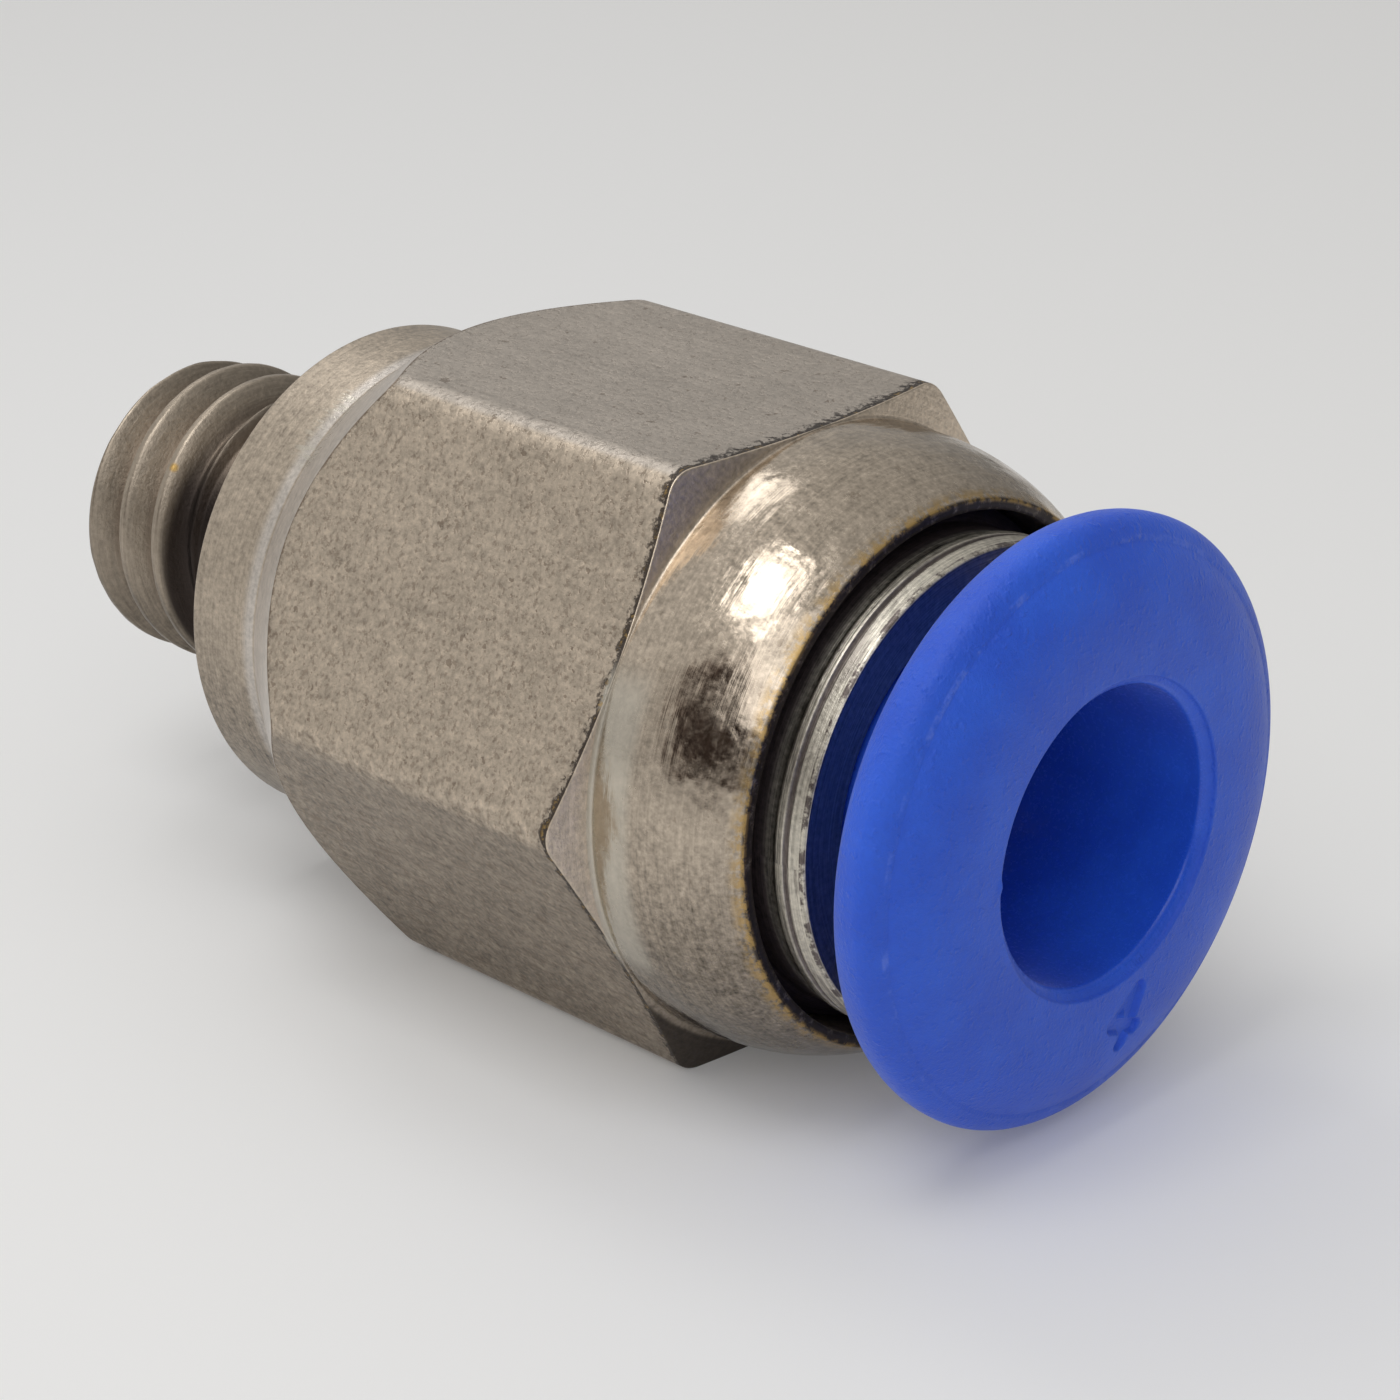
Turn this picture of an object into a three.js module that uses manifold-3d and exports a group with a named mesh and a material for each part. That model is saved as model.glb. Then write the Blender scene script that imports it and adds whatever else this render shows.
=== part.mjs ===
// Straight male push to connect fitting: M5 thread, 9 mm hexagon, 4 mm tube.
// Millimetres. +X runs along the bore towards the tube entry, +Z is up through a wrench flat.
// The origin lies on the axis in the plane of the collar's seat face.
import * as THREE from 'three';
import { mergeVertices } from 'three/addons/utils/BufferGeometryUtils.js';
import Module from 'manifold-3d';

const wasm = await Module();
wasm.setup();

// Facets round a turned surface, the same for all parts so that running gaps stay even
const turnedFacets = 72;
const roundFacets = 12;

// Clearances
const pressedGap = 0.03;
const runningGap = 0.06;
const stackGap = 0.02;

// Tube, the size that everything inside is built around
const tubeRadius = 2.0;
const tubeGap = 0.06;
const tubeBoreRadius = tubeRadius + tubeGap;

// Thread M5 x 0.8
const threadCrestRadius = 2.4;
const threadRootRadius = 2.01;
const threadPitch = 0.8;
const threadStart = -4.6;
const threadFlankAngle = Math.PI / 6;
const threadRootFlat = 0.1;
const threadLeadIn = 0.35;
const threadLeadLength = 0.25;
const threadPhase = 0.29;
const neckRadius = 1.95;
const neckLength = 2.12;
const neckFlare = 0.33;
const facetsPerThreadTurn = 60;

// Collar and hexagon
const collarRadius = 3.86;
const collarEdge = 0.1;
const collarLength = 1.49;
const chamferAngle = 0.59;
const hexAcrossFlats = 9.0;
const hexCornerRadius = 0.5;
const hexEnd = 9.21;
const hexEndAngle = 0.3;
const hexReach = 5.6;

// Dome behind the hexagon, with the mouth of the bore at its tip
const domeRadius = 4.48;
const domeStraight = 0.4;
const mouthPlane = 11.46;
const mouthRimRadius = 3.9;
const domeSteps = 10;

// Bores of the body
const flowBoreRadius = 1.0;
const flowInletRadius = 1.35;
const flowInletDepth = 0.35;
const tubeStop = 2.6;
const sealSeat = 5.6;
const sealChamberRadius = 3.12;
const counterboreFloor = 7.0;
const counterboreRadius = 3.75;

// O-ring
const sealSectionRadius = 0.59;
const sealInnerRadius = 1.92;

// Back-up ring that holds the O-ring in and the claw ring out
const backupThroat = 0.33;
const backupConeThroat = 2.35;
const backupConeMouth = 3.15;

// Claw ring and its fingers
const clawThickness = 0.2;
const clawBaseInner = 3.15;
const clawPlane = 8.8;
const fingerCount = 8;
const fingerThickness = 0.15;
const fingerRootRadius = 2.9;
const fingerRootPlane = 8.76;
const fingerLength = 1.36;
const fingerLean = 0.714;
const fingerRootWidth = 1.8;
const fingerTipWidth = 1.1;
const fingerRootRound = 0.075;

// Guide ring pressed into the mouth, with a slimmer front that stands proud of it
const guideShoulderDepth = 0.55;
const guideSideRadius = 3.45;
const guideRidge = 0.05;
const guideLipAt = 0.16;
const guideLipWidth = 0.13;
const guideGrooveWidth = 0.1;
const guideGrooveDepth = 0.07;
const guideFrontEdge = 0.03;
const guideProud = 0.65;
const guideStepDepth = 0.84;
const guideBeadGap = 0.05;
const guideInnerChamfer = 0.06;

// Release ring: flange, sleeve, snap bead and nose. The flange's front curves from its widest
// radius over the parting line to the flat face.
const sleeveRadius = 2.64;
const sleeveBoreRadius = 2.08;
const beadRadius = 3.0;
const beadLength = 0.45;
const beadRamp = 0.3;
const noseRadius = 2.32;
const noseBoreRadius = 2.12;
const nosePlane = 9.15;
const noseTaper = 0.5;
const flangeGap = 1.64;
const flangeRearRadius = 3.73;
const flangeWidestRadius = 4.29;
const flangeWidestAt = 0.5;
const flangeRimWidth = 0.22;
const flangePartingRadius = 4.01;
const flangePartingAt = 0.9;
const flangeBrowRadius = 3.54;
const flangeBrowAt = 1.2;
const flangeFaceRadius = 2.9;
const flangeThickness = 1.33;
const entryRadius = 2.12;
const entryDepth = 0.45;
const sleeveFillet = 0.25;

const nickelPlate = { color: 0xa8a294, roughness: 0.38, metalness: 1.0 };
const guideSteel = { color: 0xb6b1a4, roughness: 0.3, metalness: 1.0 };
const springSteel = { color: 0xc4c6c8, roughness: 0.32, metalness: 1.0 };
const blueAcetal = { color: 0x2442b4, roughness: 0.42, metalness: 0.0 };
const paleAcetal = { color: 0xd9d6cc, roughness: 0.5, metalness: 0.0 };
const sealRubber = { color: 0x1b1b1d, roughness: 0.8, metalness: 0.0 };

// three.js geometry to a closed manifold solid
function solid(geometry) {
  const bare = geometry.index ? geometry.toNonIndexed() : geometry.clone();
  bare.deleteAttribute('normal');
  bare.deleteAttribute('uv');
  const merged = mergeVertices(bare, 1e-5);
  const made = new wasm.Manifold(new wasm.Mesh({
    numProp: 3,
    vertProperties: new Float32Array(merged.attributes.position.array),
    triVerts: new Uint32Array(merged.index.array),
  }));
  return made;
}

// Manifold solid back to a named mesh
function meshOf(name, made, look) {
  const raw = made.getMesh();
  const geometry = new THREE.BufferGeometry();
  geometry.setAttribute('position', new THREE.BufferAttribute(new Float32Array(raw.vertProperties), 3));
  geometry.setIndex(new THREE.BufferAttribute(new Uint32Array(raw.triVerts), 1));
  geometry.computeVertexNormals();
  const mesh = new THREE.Mesh(geometry, new THREE.MeshStandardMaterial(look));
  mesh.name = name;
  return mesh;
}

// Revolve a list of [x, radius] points about the X axis. A closed list repeats its first point.
function turned(points, facets = turnedFacets) {
  const profile = points.map(([x, r]) => new THREE.Vector2(r, x));
  return solid(new THREE.LatheGeometry(profile, facets).rotateZ(-Math.PI / 2));
}

// Points along an arc that leaves [x0, r0] parallel to the axis and ends in [x1, r1]
function tangentArc([x0, r0], [x1, r1], steps) {
  const drop = r0 - r1;
  const run = x1 - x0;
  const radius = (drop * drop + run * run) / (2 * drop);
  const sweep = Math.asin(run / radius);
  return Array.from({ length: steps + 1 }, (_, i) => {
    const turn = (sweep * i) / steps;
    return [x0 + radius * Math.sin(turn), r0 - radius * (1 - Math.cos(turn))];
  });
}

// Points of a quarter round from one [x, r] to the next, bulging towards the given corner
function corner(from, peak, to, steps) {
  const curve = new THREE.QuadraticBezierCurve(
    new THREE.Vector2(...from), new THREE.Vector2(...peak), new THREE.Vector2(...to));
  return curve.getPoints(steps).map((p) => [p.x, p.y]);
}

// Hexagonal bar along X with rounded corners and a flat on top
function hexBar(from, to) {
  const shape = new THREE.Shape();
  const apothem = hexAcrossFlats / 2;
  const centre = (apothem - hexCornerRadius) / Math.cos(Math.PI / 6);
  for (let k = 0; k < 6; k += 1) {
    const turn = (k * Math.PI) / 3;
    shape.absarc(centre * Math.cos(turn), centre * Math.sin(turn), hexCornerRadius,
      turn - Math.PI / 6, turn + Math.PI / 6, false);
  }
  const bar = new THREE.ExtrudeGeometry(shape, {
    depth: to - from, bevelEnabled: false, curveSegments: roundFacets / 2,
  });
  bar.rotateY(Math.PI / 2);
  bar.rotateX(-Math.PI / 2);
  bar.translate(from, 0, 0);
  return solid(bar);
}

// Cutter for the helical groove of the thread: a V section wound about the X axis
function threadCutter(firstX, lastX) {
  const outer = threadCrestRadius + threadRootFlat;
  const halfOuter = threadRootFlat / 2 + (outer - threadRootRadius) * Math.tan(threadFlankAngle);
  const section = new THREE.Shape([
    new THREE.Vector2(-threadRootFlat / 2, threadRootRadius),
    new THREE.Vector2(threadRootFlat / 2, threadRootRadius),
    new THREE.Vector2(halfOuter, outer),
    new THREE.Vector2(-halfOuter, outer),
  ]);
  const turns = (lastX - firstX) / threadPitch;
  const cutter = new THREE.ExtrudeGeometry(section, {
    depth: turns, steps: Math.round(turns * facetsPerThreadTurn), bevelEnabled: false,
  });
  const place = cutter.attributes.position;
  for (let i = 0; i < place.count; i += 1) {
    const turn = place.getZ(i);
    const angle = 2 * Math.PI * turn;
    const radius = place.getY(i);
    place.setXYZ(i, firstX + place.getX(i) + threadPitch * turn,
      radius * Math.cos(angle), radius * Math.sin(angle));
  }
  return solid(cutter);
}

// Body: thread, neck, collar, hexagon and dome in one turned piece, with its stepped bore
function body() {
  const chamferRise = (hexReach - collarRadius) / Math.tan(chamferAngle);
  const threadEnd = -neckLength - neckFlare;
  const outside = turned([
    [threadStart, 0],
    [threadStart, threadCrestRadius - threadLeadIn],
    [threadStart + threadLeadLength, threadCrestRadius],
    [threadEnd, threadCrestRadius],
    [-neckLength, neckRadius],
    [-collarEdge, neckRadius],
    [0, neckRadius + collarEdge],
    [0, collarRadius - collarEdge],
    [collarEdge, collarRadius],
    [collarLength, collarRadius],
    [collarLength + chamferRise, hexReach],
    [hexEnd - (hexReach - domeRadius) * Math.tan(hexEndAngle), hexReach],
    [hexEnd, domeRadius],
    ...tangentArc([hexEnd + domeStraight, domeRadius], [mouthPlane, mouthRimRadius], domeSteps),
    [mouthPlane, 0],
  ]);
  const inside = turned([
    [threadStart - 1, 0],
    [threadStart - 1, flowInletRadius + 1],
    [threadStart + flowInletDepth, flowBoreRadius],
    [tubeStop, flowBoreRadius],
    [tubeStop, tubeBoreRadius],
    [sealSeat, tubeBoreRadius],
    [sealSeat, sealChamberRadius],
    [counterboreFloor, sealChamberRadius],
    [counterboreFloor, counterboreRadius],
    [mouthPlane + 1, counterboreRadius],
    [mouthPlane + 1, 0],
  ]);
  const groove = threadCutter(threadStart + threadPhase - threadPitch, threadEnd + threadPitch / 2);
  const bar = hexBar(threadStart - 1, mouthPlane + 1);
  return outside.intersect(bar).subtract(groove).subtract(inside);
}

// O-ring in its chamber, its inner side a little inside the tube's diameter
function seal() {
  const centreRadius = sealInnerRadius + sealSectionRadius;
  const centreX = sealSeat + stackGap + sealSectionRadius;
  const ring = new THREE.TorusGeometry(centreRadius, sealSectionRadius, 2 * roundFacets, turnedFacets);
  return solid(ring.rotateY(Math.PI / 2).translate(centreX, 0, 0));
}

// Back-up ring: a throat for the tube, then a cone that gives the fingers room to open
function backupRing() {
  const rear = counterboreFloor + stackGap;
  const front = clawPlane - clawThickness / 2 - stackGap;
  const outer = counterboreRadius - pressedGap;
  return turned([
    [rear, tubeBoreRadius], [rear, outer], [front, outer],
    [front, backupConeMouth], [rear + backupThroat, backupConeThroat],
    [rear + backupThroat, tubeBoreRadius], [rear, tubeBoreRadius],
  ]);
}

// Flat base of the claw, clamped between the back-up ring and the guide ring
function clawBase() {
  const rear = clawPlane - clawThickness / 2;
  const front = clawPlane + clawThickness / 2;
  const outer = counterboreRadius - pressedGap;
  return turned([
    [rear, clawBaseInner], [rear, outer], [front, outer], [front, clawBaseInner], [rear, clawBaseInner],
  ]);
}

// One spring finger, lying from its root inward and towards the thread, at angle k of the ring
function finger(k) {
  const shape = new THREE.Shape([
    new THREE.Vector2(-fingerRootWidth / 2, 0),
    new THREE.Vector2(fingerRootWidth / 2, 0),
    new THREE.Vector2(fingerTipWidth / 2, fingerLength),
    new THREE.Vector2(0, fingerLength - fingerThickness / 2),
    new THREE.Vector2(-fingerTipWidth / 2, fingerLength),
  ]);
  const plate = new THREE.ExtrudeGeometry(shape, { depth: fingerThickness, bevelEnabled: false });
  plate.translate(0, 0, -fingerThickness / 2);
  const leaf = solid(plate).add(solid(new THREE.CylinderGeometry(
    fingerRootRound, fingerRootRound, fingerRootWidth, roundFacets).rotateZ(Math.PI / 2)));
  const place = new THREE.Matrix4()
    .makeRotationX((2 * Math.PI * k) / fingerCount)
    .multiply(new THREE.Matrix4().makeTranslation(fingerRootPlane, 0, fingerRootRadius))
    .multiply(new THREE.Matrix4().makeRotationY(fingerLean))
    .multiply(new THREE.Matrix4().makeBasis(
      new THREE.Vector3(0, 1, 0), new THREE.Vector3(0, 0, -1), new THREE.Vector3(-1, 0, 0)));
  return leaf.transform(place.elements);
}

// Guide ring: pressed into the mouth. Its front is slimmer than the mouth and stands proud of it,
// with a lip, a groove and a tapered band on its side and a flat face.
function guideRing() {
  const rear = clawPlane + clawThickness / 2 + stackGap;
  const outer = counterboreRadius - pressedGap;
  const bore = sleeveRadius + runningGap;
  const beadBore = beadRadius + runningGap;
  const guideFace = mouthPlane + guideProud;
  const guideStep = mouthPlane - guideStepDepth;
  const guideShoulder = mouthPlane - guideShoulderDepth;
  const guideLip = mouthPlane + guideLipAt;
  const guideGroove = guideLip + guideLipWidth;
  const ridge = guideSideRadius + guideRidge;
  return turned([
    [rear, beadBore],
    [rear, outer],
    [guideShoulder - (outer - guideSideRadius), outer],
    [guideShoulder, guideSideRadius],
    [guideLip - guideRidge, guideSideRadius],
    [guideLip, ridge],
    [guideGroove, ridge],
    [guideGroove + guideGrooveWidth / 2, ridge - guideGrooveDepth],
    [guideGroove + guideGrooveWidth, ridge],
    [guideFace - guideFrontEdge, guideSideRadius],
    [guideFace, guideSideRadius - guideFrontEdge],
    [guideFace, bore + guideInnerChamfer],
    [guideFace - guideInnerChamfer, bore],
    [guideStep + (beadBore - bore) / 2, bore],
    [guideStep, beadBore],
    [rear, beadBore],
  ]);
}

// Release ring, drawn in its rest position with the bead against the guide ring's step
function releaseRing() {
  const beadFront = mouthPlane - guideStepDepth - guideBeadGap;
  const beadRear = beadFront - beadLength;
  const flangeRear = mouthPlane + flangeGap;
  const flangeWidestPlane = flangeRear + flangeWidestAt;
  const flangeParting = [flangeRear + flangePartingAt, flangePartingRadius];
  const flangeFace = flangeRear + flangeThickness;
  return turned([
    [nosePlane, noseBoreRadius],
    [nosePlane, noseRadius],
    [nosePlane + noseTaper, sleeveRadius],
    [beadRear - beadRamp, sleeveRadius],
    [beadRear, beadRadius],
    [beadFront, beadRadius],
    [beadFront + (beadRadius - sleeveRadius) / 2, sleeveRadius],
    ...corner([flangeRear - sleeveFillet, sleeveRadius], [flangeRear, sleeveRadius],
      [flangeRear, sleeveRadius + sleeveFillet], roundFacets / 4),
    ...corner([flangeRear, flangeRearRadius], [flangeRear, flangeWidestRadius],
      [flangeWidestPlane, flangeWidestRadius], roundFacets / 2),
    ...corner([flangeWidestPlane, flangeWidestRadius],
      [flangeWidestPlane + flangeRimWidth, flangeWidestRadius], flangeParting, roundFacets / 3).slice(1),
    ...corner(flangeParting, [flangeRear + flangeBrowAt, flangeBrowRadius],
      [flangeFace, flangeFaceRadius], roundFacets / 2).slice(1),
    [flangeFace, entryRadius],
    [flangeFace - entryDepth, sleeveBoreRadius],
    [nosePlane + noseTaper, sleeveBoreRadius],
    [nosePlane, noseBoreRadius],
  ]);
}

const fitting = new THREE.Group();
fitting.name = 'push_to_connect_fitting';
fitting.add(meshOf('body', body(), nickelPlate));
fitting.add(meshOf('o_ring', seal(), sealRubber));
fitting.add(meshOf('backup_ring', backupRing(), paleAcetal));
fitting.add(meshOf('claw_base', clawBase(), springSteel));
for (let k = 0; k < fingerCount; k += 1) {
  fitting.add(meshOf(`claw_finger_${k + 1}`, finger(k), springSteel));
}
fitting.add(meshOf('guide_ring', guideRing(), guideSteel));
fitting.add(meshOf('release_ring', releaseRing(), blueAcetal));

export default fitting;
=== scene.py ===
"""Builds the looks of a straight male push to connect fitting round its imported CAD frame.

The frame is in metres, +X along the bore towards the tube entry and +Z up through a wrench flat.
Every turned piece is a closed grid: a profile of (x, radius) points is carried round the X axis.
"""

import math
from types import SimpleNamespace

import bpy
import numpy as np
from mathutils import Matrix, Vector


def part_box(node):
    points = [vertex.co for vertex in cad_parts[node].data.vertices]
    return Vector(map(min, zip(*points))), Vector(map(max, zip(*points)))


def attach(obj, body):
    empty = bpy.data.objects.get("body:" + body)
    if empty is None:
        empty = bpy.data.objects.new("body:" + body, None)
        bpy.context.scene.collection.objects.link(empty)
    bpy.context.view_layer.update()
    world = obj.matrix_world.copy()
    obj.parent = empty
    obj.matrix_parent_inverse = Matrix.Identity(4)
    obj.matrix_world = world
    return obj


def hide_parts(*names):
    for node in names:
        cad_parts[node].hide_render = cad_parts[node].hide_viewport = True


bl_info = {
    "name": "Push to connect fitting",
    "version": (1, 0, 0),
    "blender": (4, 5, 0),
    "location": "3D Viewport > Sidebar > Fitting",
    "description": "Builds a straight male push to connect fitting on its CAD frame",
    "category": "Object",
}

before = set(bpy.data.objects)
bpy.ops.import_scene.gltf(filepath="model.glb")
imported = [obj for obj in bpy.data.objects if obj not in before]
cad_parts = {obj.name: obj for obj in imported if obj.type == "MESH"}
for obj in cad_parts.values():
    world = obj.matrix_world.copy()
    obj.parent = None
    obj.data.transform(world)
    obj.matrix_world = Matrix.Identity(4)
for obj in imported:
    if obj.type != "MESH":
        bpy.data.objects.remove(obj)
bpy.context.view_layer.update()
MM = 0.001
PER_MM = 1000.0
BUMP = 0.00002
FLASH_ANGLES = (1.11, 3.08)
FLOOR_SIDE = 0.6

# Each light's name, its place from the lit point and its side in millimetres, and its watts
LIT_POINT = (5.0, 0.0, 0.0)
LIGHTS = (
    ("key", (3.0, -32.0, 82.0), 36.0, 0.016),
    ("fill", (40.0, -80.0, 60.0), 40.0, 0.004),
    ("front", (58.0, -66.0, 74.0), 80.0, 0.0165),
    ("rim", (-55.0, 15.0, 76.0), 30.0, 0.006),
)

# The camera's lens and place in millimetres, and where its right, up and back sides point
CAMERA_LENS = 98.16
CAMERA_PLACE = (42.288, -36.071, 21.877)
CAMERA_RIGHT = (0.7166, 0.6974, -0.0104)
CAMERA_UP = (-0.2726, 0.2938, 0.9162)
CAMERA_BACK = (0.6420, -0.6537, 0.4006)


def length(words, about, mm):
    """A length property, given in millimetres and held in metres."""
    return bpy.props.FloatProperty(
        name=words, description=about, default=mm * MM, unit="LENGTH", precision=5
    )


def angle(words, about, radians):
    """An angle property, in radians."""
    return bpy.props.FloatProperty(name=words, description=about, default=radians, subtype="ANGLE")


def colour(words, about, rgb):
    """A linear RGB colour property."""
    return bpy.props.FloatVectorProperty(
        name=words, description=about, default=rgb, size=3, min=0.0, max=1.0, subtype="COLOR"
    )


class FittingBodySizes(bpy.types.PropertyGroup):
    """Sizes of the nickel plated body."""

    thread_start: length("Thread start", "Where the thread's end face lies", -4.6)
    thread_crest: length("Thread crest", "Radius of the thread's crests", 2.4)
    thread_root: length("Thread root", "Radius of the thread's roots", 2.01)
    thread_pitch: length("Thread pitch", "Advance in one turn", 0.8)
    thread_flat: length("Crest flat", "Width of the crest and root flats", 0.1)
    thread_shift: length("Thread shift", "Where the groove crosses the +Y side", -4.31)
    lead_in: length("Lead-in", "Height of the chamfer at the thread's end", 0.35)
    lead_length: length("Lead-in length", "Length of the chamfer at the thread's end", 0.25)
    neck: length("Neck", "Radius of the relief behind the thread", 1.95)
    neck_length: length("Neck length", "From the collar to the thread's run-out", 2.12)
    run_out: length("Run-out", "Length over which the thread runs out", 0.33)
    collar: length("Collar", "Radius of the collar", 3.86)
    collar_edge: length("Collar edge", "Chamfer at the collar's seat edge", 0.1)
    collar_length: length("Collar length", "From the seat to the start of the cone", 1.49)
    cone_angle: angle("Cone angle", "Angle of the thread side's cone from the axis", 0.59)
    flats: length("Across flats", "Distance between opposite faces", 9.0)
    corner: length("Hexagon corner", "Radius that rounds the hexagon's corners", 0.5)
    hex_end: length("Hexagon end", "Plane where the hexagon's end cone meets the dome", 9.21)
    hex_end_slope: bpy.props.FloatProperty(
        name="End cone", description="How far the end cone falls back for each unit of radius", default=0.309
    )
    dome: length("Dome", "Radius of the dome's straight part", 4.48)
    dome_straight: length("Dome straight", "Length of the dome's straight part", 0.4)
    mouth: length("Mouth", "Plane of the bore's mouth", 11.46)
    rim: length("Mouth rim", "Outer radius of the mouth's rim", 3.9)
    counterbore: length("Counterbore", "Radius of the bore that holds the inner rings", 3.75)
    floor: length("Counterbore floor", "Plane of the counterbore's floor", 7.0)
    seal_bore: length("Seal chamber", "Radius of the O-ring's chamber", 3.12)
    seal_seat: length("Seal seat", "Plane of the O-ring's seat", 5.6)
    tube_bore: length("Tube bore", "Radius of the bore that takes the tube", 2.06)
    tube_stop: length("Tube stop", "Plane that stops the tube", 2.6)
    flow_bore: length("Flow bore", "Radius of the flow bore", 1.0)
    inlet: length("Inlet", "Radius of the inlet's chamfer", 1.35)
    inlet_depth: length("Inlet depth", "Depth of the inlet's chamfer", 0.35)
    bevel: length("Edge", "How far a sharp edge is rounded", 0.04)


class FittingRingSizes(bpy.types.PropertyGroup):
    """Sizes of the guide ring and the release ring."""

    guide_rear: length("Guide rear", "Rear plane of the guide ring", 8.92)
    guide_outer: length("Guide outside", "Radius pressed into the counterbore", 3.72)
    guide_shoulder: length("Guide shoulder", "Plane where the slimmer front starts", 10.91)
    guide_side: length("Guide side", "Radius of the slimmer front", 3.45)
    guide_ridge: length("Ridge", "How far the lip stands out from the side", 0.05)
    guide_lip: length("Guide lip", "Plane where the thin lip starts", 11.62)
    guide_lip_width: length("Lip width", "Width of the thin lip", 0.13)
    guide_groove_width: length("Groove width", "Width of the fine groove", 0.1)
    guide_groove_depth: length("Groove depth", "Depth of the fine groove", 0.07)
    guide_edge: length("Guide edge", "Chamfer at the front face", 0.03)
    guide_face: length("Guide face", "Plane of the guide ring's face", 12.11)
    guide_step: length("Guide step", "Plane of the step that holds the bead", 10.62)
    guide_bore: length("Guide bore", "Radius of the guide's bore", 2.7)
    guide_recess: length("Guide recess", "Radius of the room for the bead", 3.06)
    sleeve: length("Sleeve", "Outer radius of the sleeve", 2.64)
    bore: length("Ring bore", "Radius of the release ring's bore", 2.08)
    bead: length("Bead", "Radius of the snap bead", 3.0)
    bead_front: length("Bead front", "Front plane of the snap bead", 10.57)
    bead_length: length("Bead length", "Length of the snap bead", 0.45)
    nose: length("Nose", "Outer radius of the sleeve's nose", 2.32)
    nose_plane: length("Nose plane", "Inner end of the sleeve", 9.15)
    nose_taper: length("Nose taper", "Length of the nose's taper", 0.5)
    flange_rear: length("Flange rear", "Rear plane of the flange", 13.1)
    rear_flat: length("Rear flat", "Radius where the flange's rear edge starts to round", 3.64)
    widest: length("Flange radius", "Largest radius of the flange", 4.29)
    widest_plane: length("Widest plane", "Plane where the flange reaches its largest radius", 13.67)
    rim_width: length("Rim width", "From that plane to where the rim would meet the front", 0.22)
    parting: length("Parting line", "Radius of the fine line at the front of the rim", 4.01)
    parting_plane: length("Parting plane", "Plane of that line", 14.0)
    brow: length("Brow", "Radius that the front's curve is drawn towards", 3.5)
    brow_plane: length("Brow plane", "Plane that the front's curve is drawn towards", 14.41)
    face_outer: length("Face outside", "Outer radius of the flat face", 2.6)
    face_plane: length("Face plane", "Plane of the flat face", 14.43)
    entry: length("Entry", "Radius of the tube entry's rim", 2.12)
    entry_chamfer: length("Entry chamfer", "Width of the chamfer round the entry", 0.14)
    entry_step: length("Entry step", "Radius of the step inside the rim", 2.1)
    entry_depth: length("Entry depth", "Depth of the tube entry's step", 0.45)
    digit_height: length("Digit height", "Height of the recessed numeral", 0.82)
    digit_radius: length("Digit radius", "Distance of the numeral from the axis", 2.86)
    digit_turn: angle("Digit angle", "Angle of the numeral round the axis from +Y", -1.397)
    digit_depth: length("Digit depth", "Depth of the recessed numeral", 0.09)
    digit_stroke: length("Digit stroke", "Half the width of the numeral's strokes", 0.08)
    digit_up: angle("Digit up", "Angle of the numeral's upright from +Y", 1.203)
    flash: length("Flash", "Height of the two specks of flash at the rim", 0.03)


class FittingInnerSizes(bpy.types.PropertyGroup):
    """Sizes of the pieces inside the body."""

    seal_section: length("Seal section", "Radius of the O-ring's section", 0.59)
    seal_inner: length("Seal inside", "Inner radius of the O-ring", 1.92)
    seal_plane: length("Seal plane", "Plane of the O-ring's centre", 6.21)
    backup_rear: length("Back-up rear", "Rear plane of the back-up ring", 7.02)
    backup_front: length("Back-up front", "Front plane of the back-up ring", 8.68)
    backup_bore: length("Back-up bore", "Radius of the back-up ring's throat", 2.06)
    backup_throat: length("Throat length", "Length of the throat", 0.33)
    backup_step: length("Recess inside", "Radius where the conical recess starts", 2.35)
    backup_mouth: length("Recess mouth", "Radius of the recess at the front", 3.15)
    outer: length("Outside", "Outer radius of the rings in the counterbore", 3.72)
    claw_rear: length("Claw rear", "Rear plane of the claw's base", 8.7)
    claw_front: length("Claw front", "Front plane of the claw's base", 8.9)
    claw_inner: length("Claw inside", "Inner radius of the claw's base", 3.15)
    edge: length("Edge", "How far an edge is rounded", 0.03)
    finger_bevel: length("Finger edge", "How far a finger's edges are rounded", 0.02)


class FittingColours(bpy.types.PropertyGroup):
    """Colours of the finishes."""

    nickel: colour("Nickel", "Satin nickel plate", (0.52, 0.442, 0.355))
    # Greyer tone painted on the cone and the top face in place of their reflections
    grey: colour("Nickel, grey", "Cone and top face", (0.47, 0.43, 0.39))
    # Dark plate for pits and streaks, also painted shade in the thread's roots
    nickel_dark: colour("Nickel, tarnished", "Pits and streaks in the plate", (0.16, 0.115, 0.08))
    # Grime at the mouth and the dome's border, and painted shade on the relief behind the thread and at the
    # crescents' foot
    grime_and_painted_shade: colour("Grime", "Relief behind the thread and dark corners", (0.045, 0.036, 0.032))
    brass: colour("Brass", "Brass where the plate is worn", (0.50, 0.33, 0.12))
    # Bright plate of the guide ring, also the dome's fillet line and the painted highlight on the collar
    bright: colour("Bright plate", "Turned, plated guide ring", (0.60, 0.56, 0.48))
    # Painted shade behind the guide ring's lip, in its groove and on its front face
    band: colour("Dark band", "Tarnished cone of the guide ring", (0.085, 0.062, 0.066))
    steel: colour("Spring steel", "Claw ring", (0.62, 0.62, 0.62))
    blue: colour("Blue acetal", "Release ring", (0.016, 0.095, 0.68))
    blue_light: colour("Blue acetal, light", "Paler flow marks", (0.021, 0.118, 0.76))
    pale: colour("Pale acetal", "Back-up ring", (0.68, 0.66, 0.6))
    rubber: colour("Rubber", "O-ring", (0.012, 0.012, 0.013))
    floor: colour("Floor", "Plain pale floor", (0.80, 0.80, 0.80))


def body_sizes():
    return bpy.context.scene.fitting_body


def ring_sizes():
    return bpy.context.scene.fitting_rings


def inner_sizes():
    return bpy.context.scene.fitting_inner


def colours():
    return bpy.context.scene.fitting_colours


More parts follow.
